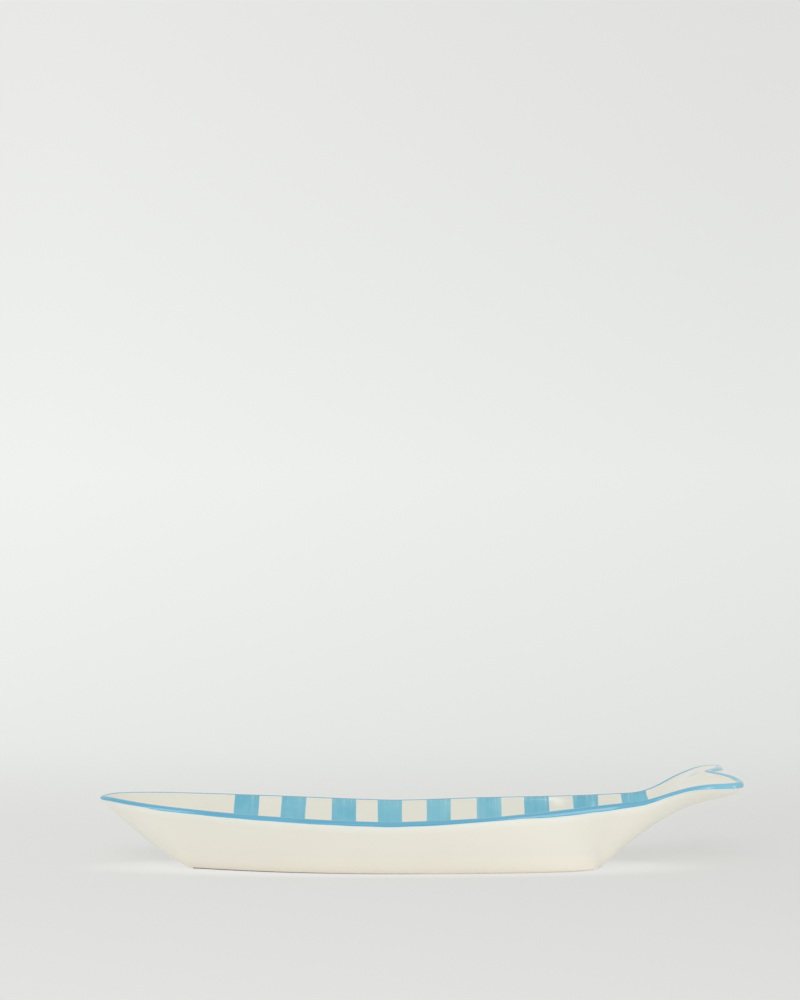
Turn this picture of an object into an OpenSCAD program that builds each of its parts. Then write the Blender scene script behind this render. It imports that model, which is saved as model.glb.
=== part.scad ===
// Fish shaped serving platter in glazed earthenware. A boat-like dish runs from a rounded nose to a
// forked tail and stands on a dry foot ring. Its lip carries a line of colour, its well brushed stripes.
// The nose points along -X, the tail along +X, and the foot stands on Z = 0.

/* [Platter] */
// Length over everything, from the nose to the tail tips
platter_l = 400; // [320:1:480]
// Width over the lip where the body is widest
body_w = 123; // [105:1:145]
// Distance from the nose to the widest place
widest_from_nose = 155; // [120:1:185]

/* [Tail] */
// Length of the tail, from its narrow wrist to the tips
tail_l = 60; // [50:1:75]
// Width over the lip at the wrist
wrist_w = 57; // [46:1:70]
// Width over the lip across the tail fin
tail_w = 105; // [80:1:120]
// Distance from the tips to where the fin is widest
fin_from_tips = 8; // [6:1:14]
// How far the corners of the fin are drawn in
fin_corner = 2; // [1:0.5:4]
// Depth of the notch in the tail
fork_d = 12.5; // [9:0.5:17]
// How much higher the lip stands at the notch
fork_lift = 2.4; // [0:0.2:4]
// Height of the underside at the tips
tail_under_h = 44.5; // [42:0.5:49]
// Height of the well's surface in the middle of the tail
tail_well_h = 54.5; // [51:0.5:56]
// Length over which the well turns up to the edge of the tail
tail_turn_l = 32; // [20:0.5:40]
// Length over which the underside turns up to the edge of the tail
tail_under_turn_l = 2.5; // [2:0.5:14]

/* [Rim] */
// Height of the lip at the nose
nose_h = 46.4; // [42:0.2:54]
// Height of the lip at its lowest place
dip_h = 35.6; // [30:0.2:40]
// Height of the lip at the tail tips
tail_h = 59.2; // [57:0.2:66]
// Distance from the nose to the lowest place of the lip
dip_from_nose = 185; // [150:1:220]
// Distance from the tips to where the tail starts to lift
lift_from_tips = 65; // [58:1:80]
// Length of the tail's lift
lift_l = 50; // [40:1:56]
// Thickness of the lip
lip_t = 5; // [4:0.2:6]
// Drop of the lip's round on the inside
lip_in_drop = 0.9; // [0.6:0.1:1.8]
// Drop of the lip's round on the outside
lip_out_drop = 2.8; // [2:0.1:3.6]

/* [Base] */
// Overhang of the nose beyond the base
nose_over = 57; // [45:1:70]
// Overhang of the tail beyond the base
tail_over = 85; // [76:1:96]
// Width of the base
base_w = 65; // [52:1:76]
// Half-width of the base at its nose end
base_nose_end = 7; // [4:0.1:10]
// Half-width of the base at its tail end
base_tail_end = 8; // [5:0.1:14]
// Thickness of the floor
floor_t = 5.5; // [4.5:0.1:7]
// Distance from the nose to the level floor of the well
well_from_nose = 72; // [62:1:90]
// Distance from the tips to the level floor of the well
well_from_tips = 100; // [90:1:115]

/* [Foot ring] */
// Height of the foot ring
foot_h = 1; // [0.6:0.1:2]
// Width of the foot ring along its sides
foot_w = 4; // [3:0.5:6]
// Width of the foot ring at its two ends
foot_end_w = 9; // [6:0.5:14]
// How far the foot ring sits in from the edge of the base
foot_inset = 1.5; // [0.8:0.1:3]

/* [Colour] */
// Thickness of a coat of colour
coat_t = 0.3; // [0.2:0.05:0.5]
// Width of a stripe
stripe_w = 16; // [12:0.5:20]
// Plain length of the head, from the nose to the first stripe
head_plain_l = 81.8; // [75:0.2:95]
// Plain length of the tail, from the last stripe to the tips
tail_plain_l = 51.7; // [48:0.1:56]

/* [Hidden] */
stripe_n = 9;

// Shape of the outline, the lip's sweep, the walls and the well, as powers and shares of one
nose_power = 0.6;
waist_power = 1.8;
fin_power = 1.2;
fork_power = 3;
fork_round_share = 0.25;
arch_power = 1.5;
nose_sweep_power = 1.35;
tail_sweep_power = 1.4;
lift_share = 0.41;
nose_keel_power = 1.22;
tail_keel_power = 1;
base_nose_power = 0.8;
base_tail_power = 0.3;
wall_power = 0.95;
nose_wall_power = 0.75;
tail_wall_power = 1.1;
floor_share = 0.4;
well_power = 1.3;
well_head_power = 1.05;
well_fin_power = 1.4;
well_nose_power = 1.6;
well_tail_power = 0.35;
turn_power = 1.6;
relax_power = 2;
bend_power = 1.5;
corner_share = 0.5;
valley_share = 0.12;
level_power = 3;
row_power = 1.6;
// Drift of each stripe from even spacing, as shares of the spacing
drift_shares = [0, -0.04, 0.02, -0.015, 0, 0.05, 0.03, 0.005, 0];

// Number of faces along the nose, each stripe and gap, and the tail, then across half the dish
nose_rows = 12;
band_rows = 3;
tail_rows = 12;
half_cols = 12;
base_cols = 3;
keel_share = base_cols / half_cols;
// Depth of the first row of faces, which follows the round of the nose
front_l = 6.5;
// Angles at which the round of the lip is drawn, from its inside edge to its outside edge
lip_angles = [20, 50, 90, 130, 160];
foot_steps = 48;

half_l = platter_l / 2;
nose_in = lip_t - half_l;
tail_in = half_l - lip_t;
widest_x = widest_from_nose - half_l;
wrist_x = half_l - tail_l;
fin_x = half_l - fin_from_tips;
dip_x = dip_from_nose - half_l;
lift_x = half_l - lift_from_tips;
base_nose_x = nose_over - half_l;
base_tail_x = half_l - tail_over;
base_mid_x = (base_nose_x + base_tail_x) / 2;
base_half_l = (base_tail_x - base_nose_x) / 2;
floor_z = foot_h + floor_t;
well_nose_x = well_from_nose - half_l;
well_tail_x = half_l - well_from_tips;
well_body = body_w / 2 - lip_t;
well_wrist = wrist_w / 2 - lip_t;
well_fin = tail_w / 2 - lip_t;

function mix(a, b, t) = a + (b - a) * t;
function clip(t) = max(0, min(1, t));
function ease(t) = (1 - cos(180 * clip(t))) / 2;
function share_of(x, a, b) = clip((x - a) / (b - a));
function flat_list(rows) = [for (row = rows) for (p = row) p];
// A rise from 0 to 1 that starts in a soft round
function valley(t, soft) = (norm([t, soft]) - soft) / (norm([1, soft]) - soft);

// Half-width of the well at a place along its length
function head_half(x) = well_body * pow(1 - pow(1 - share_of(x, nose_in, widest_x), 2), nose_power);
function waist_half(x) = mix(well_body, well_wrist, ease(pow(share_of(x, widest_x, wrist_x), waist_power)));
function fin_half(x) = mix(well_wrist, well_fin, ease(pow(share_of(x, wrist_x, fin_x), fin_power)))
    - fin_corner * pow(share_of(x, fin_x, tail_in), 2);
function well_half(x) = x < widest_x ? head_half(x) : x < wrist_x ? waist_half(x) : fin_half(x);

// Height of the lip's crest at a place along its length
function nose_sweep(x) = mix(dip_h, nose_h, pow(share_of(x, dip_x, -half_l), nose_sweep_power));
function tail_sweep(x) = mix(dip_h, tail_h, mix(pow(share_of(x, dip_x, half_l), tail_sweep_power),
    ease((x - lift_x) / lift_l), lift_share));
function rim_h(x) = x < dip_x ? nose_sweep(x) : tail_sweep(x);

// Half-width of the base at a share of its half length from the middle, nose side negative
function round_off(t, power) = pow(1 - min(1, t * t), power);
function base_curve(t) = round_off(t, t < 0 ? base_nose_power : base_tail_power);
function base_end(x) = mix(base_nose_end, base_tail_end, share_of(x, base_nose_x, base_tail_x));
function base_half(x) = norm([base_end(x), base_w / 2 * base_curve((x - base_mid_x) / base_half_l)]);

// Stripe edges in order from the nose
first_x = head_plain_l - half_l + stripe_w / 2;
last_x = half_l - tail_plain_l - stripe_w / 2;
stripe_gap = (last_x - first_x) / (stripe_n - 1);
function stripe_x(k) = first_x + stripe_gap * (k + drift_shares[k % len(drift_shares)]);
stripe_edges = [for (k = [0 : stripe_n - 1]) for (side = [-1, 1]) stripe_x(k) + side * stripe_w / 2];
last_edge = stripe_edges[2 * stripe_n - 1];

// Rows of the dish: places along its side, closer together at the nose and the tail
front_x = nose_in + front_l;
row_x = concat(
    [for (k = [0 : nose_rows - 1]) mix(front_x, stripe_edges[0], pow(k / nose_rows, nose_sweep_power))],
    [for (s = [0 : 2 * stripe_n - 2]) for (k = [0 : band_rows - 1])
        mix(stripe_edges[s], stripe_edges[s + 1], k / band_rows)],
    [for (k = [0 : tail_rows]) mix(last_edge, tail_in, 1 - pow(1 - k / tail_rows, row_power))]
);
last_row = len(row_x) - 1;
cols = 2 * half_cols;
base_first = nose_rows - band_rows - 1;
base_last = nose_rows + (2 * stripe_n - 3) * band_rows;
function side_share(j) = (j - half_cols) / half_cols;

// The rows follow the round of the nose, run straight across the stripes and bend to the forked tail
front_half = well_half(front_x);
function front_curve(v) = widest_x - (widest_x - nose_in)
    * sqrt(1 - pow(abs(v) * front_half / well_body, 1 / nose_power));
function fork(v) = fork_d * pow(1 - norm([v, fork_round_share]) + fork_round_share, fork_power);
function relax(i) = pow(1 - share_of(row_x[i], front_x, stripe_edges[0]), relax_power);
function bend(i) = pow(share_of(row_x[i], last_edge, tail_in), bend_power);
function row_point_x(i, v) = row_x[i] - (front_x - front_curve(v)) * relax(i) - fork(v) * bend(i);
function floor_x(i, v) = row_x[i] - front_l * relax(i) - fork(v) * bend(i);
function turn(i, l) = pow(share_of(row_x[i], tail_in - l, tail_in), turn_power);
function notch_lift(i, v) = fork_lift * pow(1 - v * v, arch_power) * bend(i);

// Inside surface: a level floor that rises to the nose, the sides and the tail
function nose_floor(x, top) = mix(floor_z, top, pow(share_of(x, well_nose_x, nose_in), well_nose_power));
function tail_floor(x) = mix(floor_z, tail_well_h, ease(share_of(x, well_tail_x, tail_in - fork_d)));
function well_floor(x, top) = x < widest_x ? nose_floor(x, top) : tail_floor(x);
function level_curve(t) = round_off(t, t < 0 ? base_nose_power : well_tail_power);
function level_share(x) = floor_share * level_curve((x - base_mid_x) / base_half_l);
function well_bow(x) = mix(x < base_mid_x ? well_head_power : well_fin_power, well_power,
    level_curve((x - base_mid_x) / base_half_l));
function well_rise(x, v) = pow(valley(share_of(abs(v), level_share(x), 1), valley_share), well_bow(x));
function well_point(i, v) =
    let (top = rim_h(row_x[i]) - lip_in_drop)
    let (depth = top - well_floor(floor_x(i, v), top))
    [row_point_x(i, v), v * well_half(row_x[i]),
        top + notch_lift(i, v) - depth * (1 - well_rise(row_x[i], v)) * (1 - turn(i, tail_turn_l))];
well = [for (i = [0 : last_row]) [for (j = [0 : cols]) well_point(i, side_share(j))]];

// The edge of the well as one loop, seen from above against the clock, with its outward direction
loop = concat(
    [for (i = [0 : last_row]) [i, 0]],
    [for (j = [1 : cols]) [last_row, j]],
    [for (i = [last_row - 1 : -1 : 0]) [i, cols]],
    [for (j = [cols - 1 : -1 : 1]) [0, j]]
);
loop_n = len(loop);
function edge_in(m) = let (at = loop[m % loop_n]) well[at[0]][at[1]];
function outward(m) =
    let (run = edge_in(m + 1) - edge_in(m + loop_n - 1))
    [run.y, -run.x, 0] / norm([run.x, run.y]);
function edge_out(m) = edge_in(m) + lip_t * outward(m) - [0, 0, lip_out_drop - lip_in_drop];
lip_in = [for (m = [0 : loop_n - 1]) edge_in(m)];
lip_out = [for (m = [0 : loop_n - 1]) edge_out(m)];
lip_dir = [for (m = [0 : loop_n - 1]) outward(m)];
function lip_drop(a) = a < 90 ? lip_in_drop : lip_out_drop;
function lip_point(m, a) = [
    mix(lip_in[m].x, lip_out[m].x, (1 - cos(a)) / 2),
    mix(lip_in[m].y, lip_out[m].y, (1 - cos(a)) / 2),
    lip_in[m].z + lip_in_drop - lip_drop(a) * (1 - sin(a))
];

// Outside surface: a flat base whose edge leads to the walls, the nose and the underside of the tail
function near_edge(i) = lip_out[i];
tail_edge = [for (j = [0 : cols]) lip_out[last_row + j]];
nose_edge = [for (j = [0 : cols]) lip_out[(loop_n - j) % loop_n]];
notch_x = tail_edge[half_cols].x;
fork_shares = [for (p = tail_edge) (p.x - notch_x) / (tail_edge[0].x - notch_x)];
function row_share(i, a, b) = share_of(row_x[i], row_x[a], row_x[b]);
function beyond(i) = i < base_first ? row_share(i, base_first, 0) : row_share(i, base_last, last_row);
function keel_x(i) =
    i < base_first ? mix(base_nose_x, -half_l, beyond(i)) :
    i > base_last ? mix(base_tail_x, notch_x, beyond(i)) :
    mix(base_nose_x, base_tail_x, ease(row_share(i, base_first, base_last)));
function nose_keel(s) = pow(s, nose_keel_power);
function tail_keel(s) = sin(90 * pow(s, tail_keel_power));
// A ramp from 0 whose corner is rounded over a width, sharp where the width is none
function ramp(d, w) = max(d, 0) + (w > 0 ? w * ln(1 + exp(-abs(d) / w)) : 0);
function nose_rise(i, w) = nose_keel(clip(ramp(base_nose_x - keel_x(i), w) / nose_over));
function tail_rise(i, w) = tail_keel(clip(ramp(keel_x(i) - base_tail_x, w) / tail_over));
function keel_z(i, top, w) =
    foot_h + (top - foot_h) * nose_rise(i, w) + (tail_under_h - foot_h) * tail_rise(i, w);
function end_power(i) = i < base_first ? nose_wall_power : tail_wall_power;
function bow(i) = mix(wall_power, end_power(i), beyond(i));
function reach(i) = max(base_nose_x - keel_x(i), keel_x(i) - base_tail_x, 0);
function soft_share(i) = valley_share - reach(i) / near_edge(i).y;
function flat_half(i) = mix(base_half(keel_x(i)), -near_edge(i).y * keel_share, beyond(i));
function level_half(i) = base_half(keel_x(i)) * pow(1 - beyond(i), level_power);
function wall_share(c) = share_of(c, base_cols, half_cols);
function outer_x(i, c) = mix(keel_x(i), near_edge(i).x,
    i > base_last ? fork_shares[half_cols - c] : wall_share(c));
function outer_y(i, c) = c < base_cols ? flat_half(i) * c / base_cols
    : mix(flat_half(i), -near_edge(i).y, wall_share(c));
function wall_t(i, c) = share_of(outer_y(i, c), level_half(i), -near_edge(i).y);
function wall_rise(i, c) = pow(valley(wall_t(i, c), soft_share(i)), bow(i));
function outer_point(i, j) =
    let (c = abs(j - half_cols), top = near_edge(i).z)
    let (corner = corner_share * (outer_y(i, c) - level_half(i)))
    let (depth = (top - keel_z(i, top, corner)) * (1 - wall_rise(i, c)))
    [outer_x(i, c), sign(j - half_cols) * outer_y(i, c),
        top + notch_lift(i, side_share(j)) - depth * (1 - turn(i, tail_under_turn_l))];
outer = concat(
    [nose_edge],
    [for (i = [1 : last_row - 1]) [for (j = [0 : cols]) outer_point(i, j)]],
    [tail_edge]
);

// Triangles of a four-sided face, and of a strip of such faces between two loops of points
function two(a, b, c, d) = [[a, b, c], [a, c, d]];
function grid_at(i, j) = i * (cols + 1) + j;
function grid_faces(rows, start, up) = [
    for (i = [0 : rows - 1]) for (j = [0 : cols - 1])
        let (a = start + grid_at(i, j), b = start + grid_at(i + 1, j))
        let (f = j < half_cols ? [a, b, b + 1, a + 1] : [b, b + 1, a + 1, a])
        each up ? two(f[0], f[3], f[2], f[1]) : two(f[0], f[1], f[2], f[3])
];

module platter_body() {
    grid_n = (last_row + 1) * (cols + 1);
    lip_n = len(lip_angles);
    ring = concat(
        [[for (at = loop) grid_at(at[0], at[1])]],
        [for (k = [0 : lip_n - 1]) [for (m = [0 : loop_n - 1]) 2 * grid_n + m * lip_n + k]],
        [[for (at = loop) grid_n + grid_at(at[0], at[1])]]
    );
    lip_faces = [
        for (k = [0 : lip_n]) for (m = [0 : loop_n - 1])
            let (n = (m + 1) % loop_n)
            each two(ring[k][m], ring[k][n], ring[k + 1][n], ring[k + 1][m])
    ];
    points = concat(
        flat_list(well),
        flat_list(outer),
        [for (m = [0 : loop_n - 1]) for (a = lip_angles) lip_point(m, a)]
    );
    well_faces = grid_faces(last_row, 0, true);
    outer_faces = grid_faces(last_row, grid_n, false);
    color("#e8e4d4") polyhedron(points, concat(well_faces, outer_faces, lip_faces));
}

module foot_outline(half_length, half_width) {
    shares = [for (k = [0 : foot_steps]) -cos(180 * k / foot_steps)];
    halves = [for (t = shares) base_half(base_mid_x + base_half_l * t) * half_width / (base_w / 2)];
    near = [for (k = [0 : foot_steps]) [base_mid_x + half_length * shares[k], -halves[k]]];
    far = [for (k = [foot_steps : -1 : 0]) [near[k].x, halves[k]]];
    polygon(concat(near, far));
}

module foot_ring() {
    color("#a99d90")
        linear_extrude(foot_h)
            difference() {
                foot_outline(base_half_l - foot_inset, base_w / 2 - foot_inset);
                foot_outline(base_half_l - foot_inset - foot_end_w, base_w / 2 - foot_inset - foot_w);
            }
}

module rim_line() {
    angles = concat(lip_angles, [180]);
    n = len(angles);
    function over_lip(m, a) = lip_point(m, a) + coat_t * (sin(a) * [0, 0, 1] - cos(a) * lip_dir[m]);
    points = [
        for (m = [0 : loop_n - 1])
            each concat(
                [for (a = angles) over_lip(m, a)],
                [for (k = [n - 1 : -1 : 0]) lip_point(m, angles[k])]
            )
    ];
    faces = [
        for (m = [0 : loop_n - 1]) for (k = [0 : 2 * n - 1])
            let (a = m * 2 * n, b = (m + 1) % loop_n * 2 * n, l = (k + 1) % (2 * n))
            each two(a + k, b + k, b + l, a + l)
    ];
    color("#72b3cd") polyhedron(points, faces);
}

module stripe(k) {
    first = nose_rows + 2 * k * band_rows;
    row_n = band_rows + 1;
    block = row_n * (cols + 1);
    function slope(i, j) = cross(well[i + 1][j] - well[i - 1][j],
        well[i][min(j + 1, cols)] - well[i][max(j - 1, 0)]);
    function over_well(i, j) = well[i][j] + coat_t * slope(i, j) / norm(slope(i, j));
    under = [for (i = [first : first + band_rows]) [for (j = [0 : cols]) well[i][j]]];
    over = [for (i = [first : first + band_rows]) [for (j = [0 : cols]) over_well(i, j)]];
    edge = concat(
        [for (i = [0 : band_rows]) grid_at(i, 0)],
        [for (j = [1 : cols]) grid_at(band_rows, j)],
        [for (i = [band_rows - 1 : -1 : 0]) grid_at(i, cols)],
        [for (j = [cols - 1 : -1 : 1]) grid_at(0, j)]
    );
    sides = [
        for (m = [0 : len(edge) - 1])
            let (a = edge[m], b = edge[(m + 1) % len(edge)])
            each two(block + a, block + b, b, a)
    ];
    color("#7bb9cb")
        polyhedron(concat(flat_list(under), flat_list(over)),
            concat(grid_faces(band_rows, 0, false), grid_faces(band_rows, block, true), sides));
}

platter_body();
foot_ring();
rim_line();
for (k = [1 : stripe_n]) stripe(k - 1);
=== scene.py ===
import math

import bmesh
import bpy
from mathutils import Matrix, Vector, noise


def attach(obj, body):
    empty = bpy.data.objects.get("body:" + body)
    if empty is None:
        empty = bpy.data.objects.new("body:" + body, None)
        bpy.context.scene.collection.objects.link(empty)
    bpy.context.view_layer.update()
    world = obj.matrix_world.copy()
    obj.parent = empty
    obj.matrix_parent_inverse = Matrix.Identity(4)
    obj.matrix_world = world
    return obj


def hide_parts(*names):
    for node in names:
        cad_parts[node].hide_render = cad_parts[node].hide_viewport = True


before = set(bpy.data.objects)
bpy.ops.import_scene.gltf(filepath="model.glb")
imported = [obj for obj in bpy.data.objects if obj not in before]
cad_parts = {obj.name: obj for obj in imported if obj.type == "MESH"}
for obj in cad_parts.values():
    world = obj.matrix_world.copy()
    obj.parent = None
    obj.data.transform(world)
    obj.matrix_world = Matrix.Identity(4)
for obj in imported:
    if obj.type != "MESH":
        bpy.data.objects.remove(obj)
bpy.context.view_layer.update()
mm = 0.001
print("frame loaded:", len(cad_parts), "nodes")

scene = bpy.context.scene
scene.view_settings.view_transform = "Standard"


# small helpers for shapes

def mix(a, b, t):
    return a + (b - a) * t


def clip(t):
    return max(0.0, min(1.0, t))


def ease(t):
    return (1 - math.cos(math.pi * clip(t))) / 2


def shareOf(x, a, b):
    return clip((x - a) / (b - a))


def alongTable(table, x):  # eased from one (place, value) pair to the next
    for (a, first), (b, second) in zip(table, table[1:]):
        if x <= b:
            break
    return mix(first, second, ease(shareOf(x, a, b)))


def softRise(t, soft):  # 0 to 1, starting in a soft round
    return (math.hypot(t, soft) - soft) / (math.hypot(1, soft) - soft)


# the dish in millimetres, nose towards -X, standing on z = 0
dish = {
    "length": 400, "width": 123, "widestFromNose": 155,
    "lip": 5, "lipInDrop": 0.9,
    "noseHeight": 46.4, "dipHeight": 35.6, "tailHeight": 59.2,
    "dipFromNose": 185, "liftFromTips": 65, "liftLength": 50,
    "tailLength": 60, "wristWidth": 57, "tailWidth": 105, "finFromTips": 8, "finCorner": 2,
    "notchDepth": 12.5, "notchLift": 2.4,
    "tailUnder": 44.5, "tailUnderTurn": 1.5, "tailWell": 54.5, "tailWellTurn": 32,
    "noseOver": 57, "tailOver": 85, "baseWidth": 65, "baseNoseEnd": 7, "baseTailEnd": 8,
    "foot": 0.7, "floor": 5.8,  # the glaze gathers in a bead that hides a little of the foot
    "wellFromNose": 72, "wellFromTips": 100, "noseRound": 6.5,
    "keelFromNose": 52.2, "keelFromTips": 82.9,  # rows between which the underside is flat
}
# how each stretch curves: exponents, and shares of one
curve = {
    "nose": 0.6, "waist": 1.8, "fin": 1.2, "notch": 3, "notchRound": 0.25, "arch": 1.5,
    "noseSweep": 1.35, "tailSweep": 1.4, "lift": 0.41,
    "baseNose": 0.8, "baseTail": 0.3, "noseKeel": 1.22, "tailKeel": 1,
    "wall": 0.95, "noseWall": 0.75, "tailWall": 1.1, "level": 3, "keel": 0.25, "corner": 0.5,
    "well": 1.3, "wellHead": 1.05, "wellFin": 1.4, "wellNose": 1.6, "wellTail": 0.35, "wellLevel": 0.4,
    "turn": 1.6, "relax": 2, "bend": 1.5, "soft": 0.12, "farBend": 2, "tipFill": 8,
}
# depth of the lip's outer round along the dish, fuller before the wrist and slim behind it
lipDepth = [(-200, 2.1), (-172, 2.0), (-156, 2.8), (10, 2.9), (38, 2.2), (60, 2.4),
            (85, 3.8), (112, 3.8), (142, 2.8), (172, 2.8), (192, 3.2), (200, 3.2)]
notchLip = {"deep": 0.45, "start": 14}  # share of that depth in the notch, and degrees
# the near lobe was drawn out by hand, and fully so between two shares of the way to its side
nearTip = {"longer": 3, "full": 0.6, "rounds": 0.8, "gone": 1.15}
# the far half of the tail was bent: how much higher its edge stands along the dish
farBend = [(128, 0), (158, -0.9), (174, -0.5), (190, 0.9), (200, 1.0)]
# its lip is flatter on the inside
farFlat = {"from": 146, "to": 166, "share": 0.75, "power": 6}
# faces along the dish, across it and over the lip, and passes that smooth the outside
fineness = {"rows": 264, "columns": 96, "lipSteps": 12, "endCrowding": 0.7,
            "smoothing": 24, "keptFoot": 0.4, "weld": 0.001}
# slow waver of a shape pressed and sponged by hand, none at the foot
handMade = {"size": 38, "depth": 0.22, "from": 1, "to": 8, "seed": 5}
noise.seed_set(handMade["seed"])  # the same waver each run
# the painted stripes: width, plain ends, and drift from even spacing as shares of the spacing
stripes = {
    "count": 9, "width": 16, "headPlain": 81.8, "tailPlain": 51.7,
    "drift": [0, -0.04, 0.02, -0.015, 0, 0.05, 0.03, 0.005, 0],
    "lift": 0.05, "sunk": 0.15, "edge": 0.16, "steps": 20, "lipSteps": 6,
    "edgeWaver": 0.3, "waverSize": 9, "waverApart": (3.7, 5.1),  # from stripe to stripe, and side to side
    "spread": 0.15,  # by how much the wet colour ran out at each side
    "bow": [1.9, 2.8, 0.9, -0.8, 0, 0, -2.2, 0, -2.5],  # how far the ends of a stroke curve to the tail
    "trueAt": 0.78,  # share of the way up the wall at which a bowed stroke is in its place
    "thinned": [-0.15, -0.02, -0.07, 0.03, 0.17, 0.2, 0, -0.19, -0.04],  # load of the brush
    "probe": 0.05,  # step for the slope of the well
}
# line of colour on the lip: from just inside the crest to the foot of the outer round, in degrees
rimLine = {"start": 42, "end": 178, "steps": 16, "lift": 0.1, "sunk": 0.15, "edge": 0.06,
           "edgeWaver": 4, "waverSize": 14}

halfLength = dish["length"] / 2
noseIn = dish["lip"] - halfLength
tailIn = halfLength - dish["lip"]
frontX = noseIn + dish["noseRound"]
widestX = dish["widestFromNose"] - halfLength
wristX = halfLength - dish["tailLength"]
finX = halfLength - dish["finFromTips"]
dipX = dish["dipFromNose"] - halfLength
liftX = halfLength - dish["liftFromTips"]
baseNoseX = dish["noseOver"] - halfLength
baseTailX = halfLength - dish["tailOver"]
baseMidX = (baseNoseX + baseTailX) / 2
baseReach = (baseTailX - baseNoseX) / 2
keelNoseX = dish["keelFromNose"] - halfLength
keelTailX = halfLength - dish["keelFromTips"]
floorZ = dish["foot"] + dish["floor"]
bodyHalf = dish["width"] / 2 - dish["lip"]
wristHalf = dish["wristWidth"] / 2 - dish["lip"]
finHalf = dish["tailWidth"] / 2 - dish["lip"]
plainHeadX = stripes["headPlain"] - halfLength
plainTailX = halfLength - stripes["tailPlain"]


def wellHalf(x):
    if x < widestX:
        return bodyHalf * (1 - (1 - shareOf(x, noseIn, widestX)) ** 2) ** curve["nose"]
    if x < wristX:
        return mix(bodyHalf, wristHalf, ease(shareOf(x, widestX, wristX) ** curve["waist"]))
    spread = ease(shareOf(x, wristX, finX) ** curve["fin"])
    return mix(wristHalf, finHalf, spread) - dish["finCorner"] * shareOf(x, finX, tailIn) ** 2


def rimHeight(x):
    if x < dipX:
        sweep = shareOf(x, dipX, -halfLength) ** curve["noseSweep"]
        return mix(dish["dipHeight"], dish["noseHeight"], sweep)
    sweep = shareOf(x, dipX, halfLength) ** curve["tailSweep"]
    lift = ease((x - liftX) / dish["liftLength"])
    return mix(dish["dipHeight"], dish["tailHeight"], mix(sweep, lift, curve["lift"]))


def roundOff(x, tailPower):  # 1 in the middle of the base, 0 at its two ends
    t = (x - baseMidX) / baseReach
    return (1 - min(1, t * t)) ** (curve["baseNose"] if t < 0 else tailPower)


def baseHalf(x):
    end = mix(dish["baseNoseEnd"], dish["baseTailEnd"], shareOf(x, baseNoseX, baseTailX))
    return math.hypot(end, dish["baseWidth"] / 2 * roundOff(x, curve["baseTail"]))


# rows follow the round of the nose, run straight across the body and bend to the forked tail
def bend(x):
    return shareOf(x, plainTailX, tailIn) ** curve["bend"]


def relax(x):
    return (1 - shareOf(x, frontX, plainHeadX)) ** curve["relax"]


def notch(x, v):
    soft = curve["notchRound"]
    return dish["notchDepth"] * (1 - math.hypot(v, soft) + soft) ** curve["notch"] * bend(x)


def rowPointX(x, v):
    reach = 1 - (abs(v) * wellHalf(frontX) / bodyHalf) ** (1 / curve["nose"])
    noseCurve = widestX - (widestX - noseIn) * math.sqrt(reach)
    full = min(shareOf(-v, 0, nearTip["full"]), shareOf(-v, nearTip["gone"], nearTip["rounds"]))
    longer = nearTip["longer"] * bend(x) * ease(full)
    return x - (frontX - noseCurve) * relax(x) - notch(x, v) + longer


def turn(x, length):  # the last stretch, where the tail turns up to its edge
    return shareOf(x, tailIn - length, tailIn) ** curve["turn"]


def notchLift(x, v):  # the end of the tail stands a little higher in its middle
    bent = alongTable(farBend, x) * max(0, v) ** curve["farBend"]
    return dish["notchLift"] * (1 - v * v) ** curve["arch"] * bend(x) + bent


def lipIn(x, v):  # drop from the crest to the well, less along the far edge of the tail
    onTail = ease(shareOf(x, farFlat["from"], farFlat["to"]))
    return dish["lipInDrop"] * (1 - farFlat["share"] * onTail * max(0, v) ** farFlat["power"])


def wellPoint(x, v):  # inside surface, v from -1 at the near lip to 1 at the far one
    top = rimHeight(x) - dish["lipInDrop"]
    place = x - dish["noseRound"] * relax(x) - notch(x, v)
    if place < widestX:
        rise = shareOf(place, dish["wellFromNose"] - halfLength, noseIn) ** curve["wellNose"]
        floor = mix(floorZ, top, rise)
    else:
        rise = ease(shareOf(place, halfLength - dish["wellFromTips"], tailIn - dish["notchDepth"]))
        floor = mix(floorZ, dish["tailWell"], rise)
    full = roundOff(x, curve["wellTail"])
    level = curve["wellLevel"] * full
    bow = mix(curve["wellHead" if x < baseMidX else "wellFin"], curve["well"], full)
    side = softRise(shareOf(abs(v), level, 1), curve["soft"]) ** bow
    depth = (top - floor) * (1 - side) * (1 - turn(x, dish["tailWellTurn"]))
    z = rimHeight(x) - lipIn(x, v) + notchLift(x, v) - depth
    return Vector((rowPointX(x, v), v * wellHalf(x), z))


def waver(co):  # the same slow field for every piece, so that the colour stays on the clay
    fade = shareOf(co.z, handMade["from"], handMade["to"])
    return co + noise.noise_vector(co / handMade["size"]) * handMade["depth"] * fade


rowCount, colCount = fineness["rows"], fineness["columns"]
rowX = [mix(frontX, tailIn, mix(t, ease(t), fineness["endCrowding"]))
        for t in (i / rowCount for i in range(rowCount + 1))]
colV = [2 * j / colCount - 1 for j in range(colCount + 1)]
well = [[wellPoint(x, v) for v in colV] for x in rowX]

# the edge of the well as one loop against the clock, with its outward direction
loop = [(i, 0) for i in range(rowCount + 1)]
loop += [(rowCount, j) for j in range(1, colCount + 1)]
loop += [(i, colCount) for i in range(rowCount - 1, -1, -1)]
loop += [(0, j) for j in range(colCount - 1, 0, -1)]
loopCount = len(loop)
loopAt = {at: m for m, at in enumerate(loop)}
edgeIn = [well[i][j] for i, j in loop]
edgeDir = []
for m in range(loopCount):
    run = edgeIn[(m + 1) % loopCount] - edgeIn[m - 1]
    edgeDir.append(Vector((run.y, -run.x, 0)).normalized())
edgeAlong = [0.0]  # distance round the lip from the nose's near side
for m in range(1, loopCount):
    edgeAlong.append(edgeAlong[-1] + (edgeIn[m] - edgeIn[m - 1]).length)

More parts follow.
